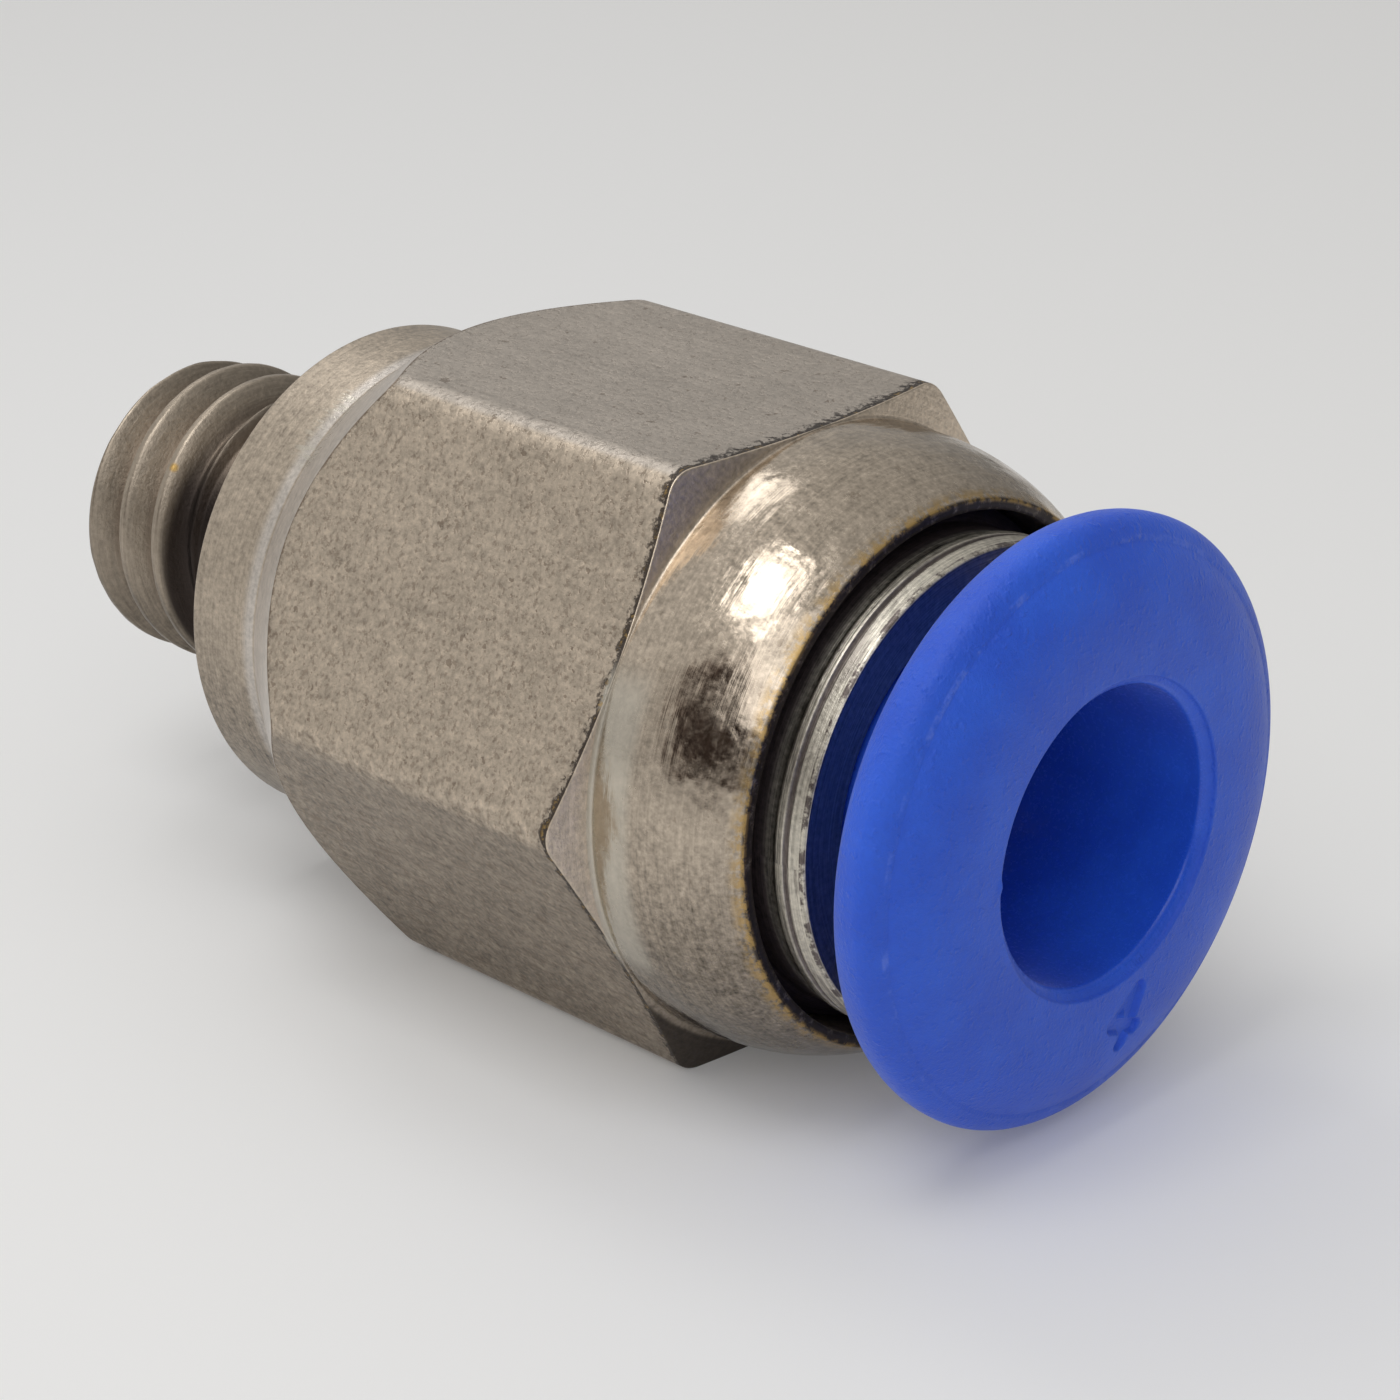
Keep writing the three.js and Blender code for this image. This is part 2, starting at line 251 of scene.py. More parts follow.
def rounded(points, steps=4, support=0.02 * MM):
    """Rows of a profile with rounded corners.

    points holds (x, radius, bevel), each a number or one value per column. At each corner P, with
    unit directions d1 into it and d2 out of it, the rows follow the quadratic curve from P - b*d1
    over P to P + b*d2, with one more row just before and after it that keeps the flats flat. A
    bevel and those rows take up no more than a share of the shorter side. A corner without a bevel
    is one row.
    """
    bevel_share, row_share = 0.42, 0.48
    columns = max(np.size(value) for point in points for value in point)
    place = np.array([[np.broadcast_to(v, columns) for v in p[:2]] for p in points], float)
    bevel = np.array([np.broadcast_to(p[2], columns) for p in points], float)
    into = place - np.roll(place, 1, axis=0)
    out = np.roll(place, -1, axis=0) - place
    long_in = np.linalg.norm(into, axis=1)
    long_out = np.linalg.norm(out, axis=1)
    bevel = np.minimum(bevel, bevel_share * np.minimum(long_in, long_out))
    into = into / long_in[:, None]
    out = out / long_out[:, None]
    extra_in = np.minimum(bevel + support, row_share * long_in)
    extra_out = np.minimum(bevel + support, row_share * long_out)
    rows = []
    for i in range(len(points)):
        if not bevel[i].any():
            rows.append(place[i])
            continue
        start = place[i] - bevel[i] * into[i]
        end = place[i] + bevel[i] * out[i]
        rows.append(place[i] - extra_in[i] * into[i])
        for t in np.linspace(0.0, 1.0, steps + 1):
            rows.append((1 - t) ** 2 * start + 2 * t * (1 - t) * place[i] + t**2 * end)
        rows.append(place[i] + extra_out[i] * out[i])
    rows = np.array(rows)
    return rows[:, 0], rows[:, 1]


def carried(name, x, radius, turn, shift=None):
    """Closed mesh of the rows (x, radius) carried round the X axis through the angles turn.

    A point is (x, radius*cos(turn), radius*sin(turn)). Rows and columns both close on themselves.
    shift, where given, moves each point along X.
    """
    rows = x.shape[0]
    columns = turn.size
    x = np.broadcast_to(x, (rows, columns))
    radius = np.broadcast_to(radius, (rows, columns))
    if shift is not None:
        x = x + shift
    points = np.stack([x, radius * np.cos(turn), radius * np.sin(turn)], axis=-1).reshape(-1, 3)
    i, j = np.meshgrid(np.arange(rows), np.arange(columns), indexing="ij")
    here = i * columns + j
    right = i * columns + (j + 1) % columns
    above = ((i + 1) % rows) * columns + j
    across = ((i + 1) % rows) * columns + (j + 1) % columns
    faces = np.stack([here, right, across, above], axis=-1).reshape(-1, 4)
    area = np.sum(x * np.roll(radius, -1, 0) - np.roll(x, -1, 0) * radius, axis=0).mean()
    if area > 0:
        faces = faces[:, ::-1]
    return mesh_object(name, points, faces)


def mesh_object(name, points, faces):
    """Object with the given points and quads, shaded smooth."""
    mesh = bpy.data.meshes.new(name)
    mesh.vertices.add(len(points))
    mesh.vertices.foreach_set("co", np.ascontiguousarray(points, np.float32).ravel())
    mesh.loops.add(faces.size)
    mesh.loops.foreach_set("vertex_index", np.ascontiguousarray(faces, np.int32).ravel())
    mesh.polygons.add(len(faces))
    mesh.polygons.foreach_set("loop_start", np.arange(0, faces.size, 4, dtype=np.int32))
    mesh.update(calc_edges=True)
    mesh.polygons.foreach_set("use_smooth", np.ones(len(faces), bool))
    made = bpy.data.objects.new(name, mesh)
    bpy.context.scene.collection.objects.link(made)
    return made


def finish_piece(made, body, node, material):
    """Gives a piece its finish, body and the CAD node that it stands for."""
    made.data.materials.clear()
    made.data.materials.append(material)
    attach(made, body)
    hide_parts(node)
    return made


def even_turns(count):
    """Angles evenly round the axis."""
    return np.arange(count) * 2 * math.pi / count


def corner_reach(s):
    """Angle on each side of a corner over which the hexagon is rounded."""
    return math.pi / 6 - math.atan(math.tan(math.pi / 6) * (1 - 2 * s.corner / s.flats))


def hex_turns(s, flat_steps=36, corner_steps=10):
    """Angles round the axis that are close together where the hexagon's corners are rounded."""
    half = corner_reach(s)
    first_step = math.radians(0.35)
    near = half + first_step
    arc = np.linspace(-half, half, corner_steps + 1)
    side = np.linspace(near, math.pi / 3 - near, flat_steps + 1)
    sector = np.concatenate([arc, side])
    return np.concatenate([sector + k * math.pi / 3 for k in range(6)])


def hex_radius(s, turn):
    """Distance from the axis to the rounded hexagon at each angle, with corners at 0, 60, ... degrees.

    On a flat it is apothem / cos(angle from the flat's normal). Near a corner it is the far
    crossing with the corner's circle, whose centre lies (apothem - r)/cos 30 out at the corner.
    """
    apothem = s.flats / 2
    off_corner = (turn + math.pi / 6) % (math.pi / 3) - math.pi / 6
    flat = apothem / np.cos(math.pi / 6 - np.abs(off_corner))
    centre = (apothem - s.corner) / math.cos(math.pi / 6)
    under = np.maximum(s.corner**2 - (centre * np.sin(off_corner)) ** 2, 0.0)
    arc = centre * np.cos(off_corner) + np.sqrt(under)
    return np.where(np.abs(off_corner) <= corner_reach(s), arc, flat)


def thread_radius(s, x, turn):
    """Radius of the thread at each (x, angle): a V groove that advances one pitch a turn.

    With p the distance from the nearest crest line, the radius falls from crest to root between
    half the crest flat and half the pitch less half the root flat. A sine of a small share of the
    drop eases both ends. A cone at the start and one at the run-out cap it.
    """
    ease = 0.035
    phase = (x - s.thread_shift) / s.thread_pitch - turn / (2 * math.pi)
    off_groove = np.abs((phase + 0.5) % 1.0 - 0.5) * s.thread_pitch
    low = s.thread_flat / 2
    high = s.thread_pitch / 2 - s.thread_flat / 2
    t = np.clip((off_groove - low) / (high - low), 0.0, 1.0)
    eased = t - ease * np.sin(2 * math.pi * t)
    groove = s.thread_root + (s.thread_crest - s.thread_root) * eased
    lead = s.thread_crest - s.lead_in + (x - s.thread_start) * s.lead_in / s.lead_length
    out = s.neck + (-s.neck_length - x) * (s.thread_crest - s.neck) / s.run_out
    return np.minimum(np.minimum(groove, lead), np.maximum(out, s.neck))


def dome_points(s, steps=12):
    """Points of the arc that leaves the dome's straight part parallel to the axis and ends in the rim.

    For a drop h over a run w its radius is (h*h + w*w) / (2*h).
    """
    start = s.hex_end + s.dome_straight
    drop = s.dome - s.rim
    run = s.mouth - start
    radius = (drop**2 + run**2) / (2 * drop)
    turn = np.linspace(0.0, math.asin(run / radius), steps + 1)[:-1]
    return [(start + radius * math.sin(a), s.dome - radius * (1 - math.cos(a)), s.bevel) for a in turn]


def body_rows(s, turn):
    """Rows of the whole body, outside from the inlet to the mouth and back through the bores.

    The thread's rows are computed one by one. The profile before them and the one after them are
    rounded, and the rows that only close each of the two are left out.
    """
    corner = hex_radius(s, turn)
    cone_end = s.collar_length + (corner - s.collar) / math.tan(s.cone_angle)
    fine = s.bevel / 2
    first_row, last_guide = 0.02 * MM, 0.1 * MM
    x_thread = np.linspace(s.thread_start + first_row, -s.neck_length, 96)[:, None]
    r_thread = thread_radius(s, x_thread, turn[None, :])
    x_thread = np.broadcast_to(x_thread, r_thread.shape)
    lead = s.thread_crest - s.lead_in
    before = rounded([
        (s.thread_start + s.inlet_depth, s.flow_bore, fine),
        (s.thread_start, s.inlet, fine),
        (s.thread_start, thread_radius(s, s.thread_start, turn), fine),
        (s.thread_start + last_guide, lead, 0.0),
    ])
    after = rounded([
        (-s.neck_length, s.neck, 0.0),
        (0.0, s.neck, 3 * s.bevel),
        (0.0, s.collar - s.collar_edge, fine),
        (s.collar_edge, s.collar, fine),
        (s.collar_length, s.collar, s.bevel),
        (cone_end, corner, fine),
        (s.hex_end - (corner - s.dome) * s.hex_end_slope, corner, fine),
        (s.hex_end, s.dome, s.bevel),
        *dome_points(s),
        (s.mouth, s.rim, fine),
        (s.mouth, s.counterbore, fine),
        (s.floor, s.counterbore, s.bevel),
        (s.floor, s.seal_bore, s.bevel),
        (s.seal_seat, s.seal_bore, s.bevel),
        (s.seal_seat, s.tube_bore, s.bevel),
        (s.tube_stop, s.tube_bore, s.bevel),
        (s.tube_stop, s.flow_bore, fine),
        (s.thread_start + s.inlet_depth, s.flow_bore, fine),
        (s.thread_start, s.inlet, 0.0),
    ])
    corner_rows = 7
    parts = ((before, slice(corner_rows, -1)), ((x_thread, r_thread), slice(None)), (after, slice(1, -1)))
    x, r = (
        np.concatenate([np.broadcast_to(part[k], (part[k].shape[0], turn.size))[kept] for part, kept in parts])
        for k in (0, 1)
    )
    return x, r


def crowded_turns(at, reach=0.17, inside=70, outside=280):
    """Angles round the axis that are close together within reach of one angle."""
    near = np.linspace(at - reach, at + reach, inside, endpoint=False)
    far = np.linspace(at + reach, at - reach + 2 * math.pi, outside, endpoint=False)
    return np.concatenate([near, far])


def curve(start, peak, end, steps):
    """Profile points of the quadratic curve from start towards peak and on to end, without its start."""
    t = np.linspace(0.0, 1.0, steps + 1)[1:, None]
    place = (1 - t) ** 2 * np.array(start) + 2 * t * (1 - t) * np.array(peak) + t**2 * np.array(end)
    return [(a, b, 0.0) for a, b in place]


def flange_outline(s):
    """Points of the flange from its flat rear round the rim and the parting line to the flat face.

    The parting line itself stands a little proud, and the front starts a little lower.
    """
    rear, top = (s.flange_rear, s.rear_flat), (s.widest_plane, s.widest)
    line = (s.parting_plane, s.parting)
    low = (s.parting_plane + 0.008 * MM, s.parting - 0.045 * MM)
    entry = s.entry + s.entry_chamfer + 0.06 * MM
    return [
        (*rear, 0.0),
        *curve(rear, (s.flange_rear, s.widest), top, 12),
        *curve(top, (s.widest_plane + s.rim_width, s.widest), line, 10)[:-1],
        (s.parting_plane - 0.012 * MM, s.parting + 0.03 * MM, 0.0),
        (s.parting_plane + 0.004 * MM, s.parting + 0.014 * MM, 0.0),
        (*low, 0.0),
        *curve(low, (s.brow_plane, s.brow), (s.face_plane, s.face_outer), 84),
        *[(s.face_plane, radius, 0.0) for radius in np.linspace(s.face_outer, entry, 21)[1:]],
    ]


def front_relief(s, x, radius, turn):
    """How far the front face of the release ring is moved along X.

    The strokes of the numeral sink by its depth, eased over the slope at their sides. Two
    bell-shaped specks of flash stand on the rim of the entry.
    """
    slope = 0.06 * MM
    speck_width, speck_reach = 0.05 * MM, 0.035
    entry = s.entry + s.entry_chamfer
    on_face = (x > s.parting_plane + 0.01 * MM) & (radius > entry + 0.03 * MM)
    y = radius * np.cos(turn) - s.digit_radius * math.cos(s.digit_turn)
    z = radius * np.sin(turn) - s.digit_radius * math.sin(s.digit_turn)
    up = y * math.cos(s.digit_up) + z * math.sin(s.digit_up)
    side = y * math.sin(s.digit_up) - z * math.cos(s.digit_up)
    t = np.clip((digit_distance(side, up, s.digit_height) - s.digit_stroke) / slope, 0.0, 1.0)
    sunk = s.digit_depth * (1.0 - t * t * (3.0 - 2.0 * t))
    rim = (x > s.face_plane - 0.02 * MM) * np.exp(-(((radius - entry) / speck_width) ** 2))
    off = [(turn - at + math.pi) % (2 * math.pi) - math.pi for at in FLASH_ANGLES]
    specks = sum(np.exp(-((angle_off / speck_reach) ** 2)) for angle_off in off)
    return s.flash * rim * specks - on_face * sunk


def digit_distance(across, up, height):
    """Distance from the numeral's strokes, which are three straight lines.

    The numeral is a plain four: a slanted line, a crossbar and an upright.
    """
    top, left, right, foot = (0.12, 0.5), (-0.32, -0.18), (0.34, -0.18), (0.12, -0.5)
    best = np.full(np.broadcast(across, up).shape, 1.0)
    for start, end in ((top, left), (left, right), (top, foot)):
        ax, ay, bx, by = (v * height for v in (*start, *end))
        run, rise = bx - ax, by - ay
        t = np.clip(((across - ax) * run + (up - ay) * rise) / (run**2 + rise**2), 0, 1)
        best = np.minimum(best, np.hypot(across - ax - t * run, up - ay - t * rise))
    return best


class Nodes:
    """A material's node tree with short calls for adding and joining nodes."""

    def __init__(self, name):
        self.material = bpy.data.materials.new(name)
        self.material.use_nodes = True
        self.tree = self.material.node_tree
        self.shader = self.tree.nodes["Principled BSDF"]
        place = self.add("ShaderNodeTexCoord").outputs["Object"]
        self.mm = self.vector("SCALE", place, scale=PER_MM)
        split = self.add("ShaderNodeSeparateXYZ")
        self.join(self.mm, split.inputs[0])
        self.x = split.outputs["X"]
        self.z = split.outputs["Z"]
        y_z = self.vector("MULTIPLY", self.mm, (0.0, 1.0, 1.0))
        self.radius = self.vector("LENGTH", y_z, out="Value")
        self.turn = self.math("ARCTAN2", self.z, split.outputs["Y"])
        facing = self.add("ShaderNodeSeparateXYZ")
        self.join(self.add("ShaderNodeNewGeometry").outputs["True Normal"], facing.inputs[0])
        self.tilt = self.math("ABSOLUTE", facing.outputs["X"])
        self.down = self.all(facing.outputs["Z"], -1.0)

    def add(self, kind, **settings):
        node = self.tree.nodes.new(kind)
        for key, value in settings.items():
            setattr(node, key, value)
        return node

    def join(self, source, socket):
        """Joins an output to a socket, or sets the socket where a plain value is given."""
        if isinstance(source, bpy.types.NodeSocket):
            self.tree.links.new(source, socket)
        else:
            socket.default_value = source

    def vector(self, operation, a, b=None, scale=None, out="Vector"):
        node = self.add("ShaderNodeVectorMath", operation=operation)
        self.join(a, node.inputs[0])
        if b is not None:
            self.join(b, node.inputs[1])
        if scale is not None:
            self.join(scale, node.inputs["Scale"])
        return node.outputs[out]

    def math(self, operation, a, b=0.0):
        node = self.add("ShaderNodeMath", operation=operation)
        self.join(a, node.inputs[0])
        self.join(b, node.inputs[1])
        return node.outputs[0]

    def ramp(self, value, low, high):
        """0 at low and 1 at high, eased between."""
        node = self.add("ShaderNodeMapRange", interpolation_type="SMOOTHSTEP")
        for socket, given in (("Value", value), ("From Min", low), ("From Max", high)):
            self.join(given, node.inputs[socket])
        return node.outputs["Result"]

    def past(self, value, size, low, high):
        """0 at low and 1 at high, in millimetres past one of the sizes, eased between."""
        return self.ramp(value, size * PER_MM + low, size * PER_MM + high)

    def band(self, value, low, high, soft):
        """1 between low and high, 0 outside, over a soft width."""
        return self.all(self.ramp(value, low - soft, low + soft), self.ramp(value, high + soft, high - soft))

    def near(self, value, target, width):
        """1 where value is within half the width of target, 0 from the width away."""
        away = self.math("ABSOLUTE", self.math("SUBTRACT", value, target))
        return self.ramp(away, width, self.all(width, 0.5))

    def off(self, value):
        """How far a noise lies above or below its middle."""
        return self.math("SUBTRACT", value, 0.5)

    def less(self, value):
        """1 less the value."""
        return self.math("SUBTRACT", 1.0, value)

    def joined(self, operation, values):
        """The values put together two at a time by one operation."""
        total = values[0]
        for value in values[1:]:
            total = self.math(operation, total, value)
        return total

    def all(self, *values):
        """Product of the values: masks that all hold, times plain factors."""
        return self.joined("MULTIPLY", values)

    def sum(self, *values):
        return self.joined("ADD", values)

    def highest(self, *values):
        return self.joined("MAXIMUM", values)

    def weighted(self, start, *pairs):
        """A start value plus each mask times its weight."""
        return self.sum(start, *(self.all(mask, weight) for mask, weight in pairs))

    def sector(self, degrees, reach):
        """1 within an angle of a direction round the axis, given from +Y, and 0 a third further out."""
        toward = (0.0, math.cos(math.radians(degrees)), math.sin(math.radians(degrees)))
        along = self.math("DIVIDE", self.vector("DOT_PRODUCT", self.mm, toward, out="Value"), self.radius)
        return self.ramp(along, math.cos(math.radians(reach * 1.33)), math.cos(math.radians(reach)))

    def tinted(self, base, shade):
        """A colour times a plain factor."""
        return self.vector("SCALE", base, scale=shade)

    def noise(self, scale, detail=3.0, rough=0.55, at=None, stretch=None):
        node = self.add("ShaderNodeTexNoise")
        place = self.mm if at is None else at
        if stretch is not None:
            place = self.vector("MULTIPLY", place, stretch)
        self.join(place, node.inputs["Vector"])
        for socket, value in (("Scale", scale), ("Detail", detail), ("Roughness", rough)):
            node.inputs[socket].default_value = value
        return node.outputs["Fac"]

    def around(self, x_scale, turn_scale, r_scale):
        """A place that runs along the turning marks: x, angle and radius, each with its own scale."""
        node = self.add("ShaderNodeCombineXYZ")
        for place, source, scale in ((0, self.x, x_scale), (1, self.turn, turn_scale), (2, self.radius, r_scale)):
            self.join(self.all(source, scale), node.inputs[place])
        return node.outputs[0]

    def mix(self, factor, a, b):
        node = self.add("ShaderNodeMix", data_type="RGBA")
        self.join(factor, node.inputs[0])
        for socket, value in ((node.inputs[6], a), (node.inputs[7], b)):
            self.join(value if isinstance(value, bpy.types.NodeSocket) else (*value, 1.0), socket)
        return node.outputs[2]

    def bump(self, height, strength, distance):
        node = self.add("ShaderNodeBump")
        node.inputs["Strength"].default_value = strength
        node.inputs["Distance"].default_value = distance
        self.join(height, node.inputs["Height"])
        return node.outputs["Normal"]

    def finish(self, base, roughness, metallic=0.0, normal=None, **others):
        self.join(base, self.shader.inputs["Base Color"])
        self.join(roughness, self.shader.inputs["Roughness"])
        self.join(metallic, self.shader.inputs["Metallic"])
        if normal is not None:
            self.join(normal, self.shader.inputs["Normal"])
        for key, value in others.items():
            self.join(value, self.shader.inputs[key.replace("_", " ")])
        return self.material


def body_parts(n, s):
    """Masks of the body's parts, from its sizes and from which way the surface faces.

    cone and end are the cones that turn off the hexagon's corners towards the thread and towards
    the dome, and from_cone and from_end are how far a point lies from them along X. The cone's mask,
    which carries its painted lighter tone, runs on over the collar's last part.
    """
    apothem = s.flats / 2
    flats_start = s.collar_length + (apothem - s.collar) / math.tan(s.cone_angle)
    along = n.ramp(n.tilt, 0.3, 0.12)
    across = n.less(along)
    above_collar = n.math("SUBTRACT", n.radius, s.collar * PER_MM)
    above_dome = n.math("SUBTRACT", n.radius, s.dome * PER_MM)
    cone_plane = n.sum(s.collar_length * PER_MM, n.math("DIVIDE", above_collar, math.tan(s.cone_angle)))
    end_plane = n.math("SUBTRACT", s.hex_end * PER_MM, n.all(above_dome, s.hex_end_slope))
    from_cone = n.math("SUBTRACT", n.x, cone_plane)
    from_end = n.math("SUBTRACT", n.x, end_plane)
    hexagon = n.all(n.band(n.x, flats_start * PER_MM - 0.045, s.hex_end * PER_MM - 0.01, 0.02), along,
                    n.past(n.radius, apothem, -0.015, -0.005))
    collar = n.all(n.past(n.x, s.collar_length, 0.01, -0.05), n.past(n.radius, s.collar, -0.06, -0.02))
    cone = n.all(n.near(from_cone, 0.0, 0.04), across, n.past(n.radius, s.collar, 0.01, 0.04))
    return SimpleNamespace(
        from_cone=from_cone,
        from_end=from_end,
        # The cone is painted lighter and greyer in place of its reflection, and this painted light runs on over the
        # collar's last part
        cone=n.highest(cone, n.all(collar, n.past(n.x, s.collar_length, -0.33, -0.13))),
        end=n.all(n.near(from_end, 0.0, 0.04), across, n.past(n.radius, s.dome, 0.01, 0.04)),
        hexagon=hexagon,
        turned=n.less(hexagon),
        top=n.all(hexagon, n.past(n.z, apothem, -0.1, -0.04)),
        under=n.all(hexagon, n.ramp(n.z, -0.6, -1.2)),
        dome=n.all(n.past(n.x, s.hex_end, -0.01, 0.09), n.past(n.radius, s.counterbore, 0.01, 0.05),
                   n.past(n.radius, s.dome, 0.015, 0.005)),
        collar=collar,
        thread=n.ramp(n.x, -0.02, -0.1),
        # Painted shade: surfaces that face down are darkened
        low=n.ramp(n.down, -0.25, 0.5),
    )


def nickel_material():
    """Satin nickel over brass, each part with its own marks.

    The flats are blasted with lines along the bar, the turned parts have rings, a dark line follows
    each border of a flat, the corners are worn light and brass shows at the mouth. A crescent is what
    the end cone leaves at one corner. Painted light stands in for light and shade: shadow on the
    relief behind the thread, shade in the thread's roots, on the underside and at two crescents' foot,
    lighter crescents, a lighter and greyer cone and top face, and a highlight on the collar.
    """
    s = body_sizes()
    c = colours()
    n = Nodes("satin_nickel")
    on = body_parts(n, s)
    corner_crest = (s.flats / 2 - s.corner) / math.cos(math.pi / 6) + s.corner
    crescent = {degrees: n.all(on.end, n.sector(degrees, 26.0)) for degrees in (60.0, 120.0, 180.0, 240.0)}
    medium = n.noise(5.5, 4.0, 0.62)
    fine = n.noise(14.0, 3.0, 0.65)
    cloud = n.noise(0.7, 3.0)
    bars = n.noise(1.0, 3.0, 0.6, stretch=(0.9, 9.0, 9.0))
    rings = n.noise(1.0, 3.0, at=n.around(26.0, 0.8, 26.0))
    ragged = n.noise(6.0, 4.0, 0.75)
    pits = n.ramp(n.noise(13.0, 3.0, 0.6, stretch=(1.0, 0.8, 0.8)), 0.50, 0.68)
    holes = n.ramp(n.noise(4.5, 3.0, 0.6), 0.66, 0.70)
    streaks = n.ramp(n.noise(1.0, 3.0, 0.6, stretch=(1.4, 8.0, 8.0)), 0.56, 0.70)

    # Brightness: grain, lines and rings and worn corners, with painted light: a lighter cone and crescents in place
    # of reflections and painted shade on the underside
    calmer = n.highest(n.all(on.top, 0.45), n.all(on.thread, 0.6))
    grain = n.all(n.weighted(n.all(n.off(medium), 0.7), (n.off(fine), 1.1)), n.less(calmer))
    worn = n.all(on.hexagon, n.past(n.radius, corner_crest, -0.09, -0.02), n.ramp(medium, 0.4, 0.6))
    # Painted light: the cone and the crescents at 60, 120 and 180 degrees are lightened and downward faces darkened
    shade = n.sum(n.weighted(1.0, (n.off(cloud), 0.3), (on.cone, 0.35), (on.dome, -0.1), (on.collar, -0.1),
                             (on.thread, -0.22), (on.low, -0.4), (worn, 0.14), (crescent[60.0], 0.6),
                             (crescent[120.0], 0.6), (crescent[180.0], 0.34)),
                  grain, n.all(n.off(bars), on.hexagon, 0.35), n.all(n.off(rings), on.turned, 0.5))
    # Painted reflection: the cone and the top face take the greyer colour
    base = n.mix(n.highest(on.cone, n.all(on.top, 0.7)),
                 n.tinted(tuple(c.nickel), shade), n.tinted(tuple(c.grey), shade))

    # Tarnish: pits, holes, streaks and the cone's border, with painted shade in the thread's roots
    wide = n.weighted(0.04, (n.ramp(ragged, 0.4, 0.65), 0.1))
    border = n.all(on.hexagon, n.highest(n.near(on.from_cone, 0.0, wide), n.near(on.from_end, 0.0, wide)))
    tarnish = n.highest(
        n.all(pits, on.hexagon, n.less(on.top), 0.42),
        n.all(pits, on.top, 0.2),
        n.all(holes, on.hexagon, 0.55),
        n.all(streaks, on.under, 0.5),
        n.all(holes, on.dome, 0.35),
        n.all(n.near(on.from_cone, 0.0, n.all(wide, 0.6)), on.hexagon, 0.75),
        # Painted shade: the thread is darkened towards its roots
        n.all(on.thread, n.past(n.radius, s.thread_root, 0.19, 0.02), 0.6),
    )
    base = n.mix(tarnish, base, tuple(c.nickel_dark))

    # Grime at the dome's border and the mouth, and painted shade: shadow on the relief behind the thread and shade at
    # the crescents' foot
    # Painted shadow: the relief behind the thread is darkened, more on its -Y, -Z side
    shadow_side = n.ramp(n.vector("DOT_PRODUCT", n.mm, (0.0, -0.9, -0.43), out="Value"), 0.1, 1.2)
    neck = n.all(n.band(n.x, -s.neck_length * PER_MM - 0.5, -1.1, 0.1), n.past(n.radius, s.thread_crest, -0.01, -0.1),
                 n.weighted(0.45, (shadow_side, 0.55)))
    # Painted shade at the foot of the crescents at 120 and 240 degrees
    painted_crescent_shade = n.all(n.past(n.radius, s.dome, 0.06, 0.14),
                  n.weighted(n.all(crescent[120.0], 0.08), (crescent[240.0], 0.85)))
    end_line = n.all(on.hexagon, n.near(on.from_end, 0.0, n.all(wide, n.weighted(1.6, (on.top, 0.9)))),
                     n.ramp(ragged, 0.34, 0.44), 0.92)
    rim_face = n.all(n.past(n.x, s.mouth, -0.06, -0.01), n.past(n.radius, s.counterbore, -0.01, 0.01),
                     n.ramp(ragged, 0.8, 0.5), 0.92)
    base = n.mix(n.highest(neck, painted_crescent_shade, end_line, rim_face), base, tuple(c.grime_and_painted_shade))

    # Bare and worn metal: the dome's fillet, brass at the mouth, the end border and one speck; scratches with a
    # painted highlight on the collar
    fillet = n.all(n.near(n.radius, s.dome * PER_MM + 0.03, 0.05), n.past(n.x, s.hex_end, -0.11, -0.05),
                   n.sector(180.0, 24.0), 0.75)
    base = n.mix(fillet, base, tuple(c.bright))
    at_rim = n.all(n.past(n.x, s.mouth, -0.24, -0.02), n.past(n.radius, s.rim, -0.06, -0.01),
                   n.ramp(n.noise(5.0, 4.0, 0.75), 0.42, 0.58), 0.8)
    at_end = n.all(border, n.ramp(n.x, 5.0, 6.0), n.ramp(ragged, 0.55, 0.65), 0.6)
    speck = n.ramp(n.vector("DISTANCE", n.mm, (-2.72, -1.87, 1.47), out="Value"), 0.1, 0.03)
    base = n.mix(n.highest(at_rim, at_end, speck), base, tuple(c.brass))
    # Painted highlight: a bright patch of scratches on the collar's top by the cone
    scratches_and_painted_highlight = n.all(n.near(n.x, s.collar_length * PER_MM + 0.01, 0.5), n.past(n.radius, s.collar, -0.06, -0.02),
                  n.sector(123.0, 10.0), n.ramp(n.noise(1.0, 3.0, 0.7, at=n.around(2.0, 60.0, 2.0)), 0.48, 0.62))
    base = n.mix(n.all(scratches_and_painted_highlight, 0.75), base, tuple(c.bright))

    # Polish and relief: the dome is smooth with a slow swell, its lip and the flats are matt
    lip = n.all(n.past(n.x, s.mouth, -0.16, -0.04), n.past(n.radius, s.rim, 0.05, 0.0))
    uneven = n.all(n.off(n.noise(2.2, 3.0, 0.6)), on.dome)
    rough = n.weighted(0.42, (n.off(fine), 0.3), (on.dome, -0.22), (on.hexagon, 0.06), (on.cone, -0.06),
                       (lip, 0.3), (uneven, 0.5), (scratches_and_painted_highlight, -0.15))
    swell = n.all(n.noise(1.0, 2.0, 0.5, at=n.around(2.4, 7.0, 2.4)), on.dome)
    even = n.less(n.all(on.dome, 0.82))
    height = n.weighted(n.all(n.weighted(medium, (fine, 0.8)), even), (rings, 0.3), (swell, 3.4),
                        (n.all(n.highest(pits, holes), on.hexagon), -0.7), (border, -1.5))
    return n.finish(base, rough, 1.0, n.bump(height, 0.42, BUMP))


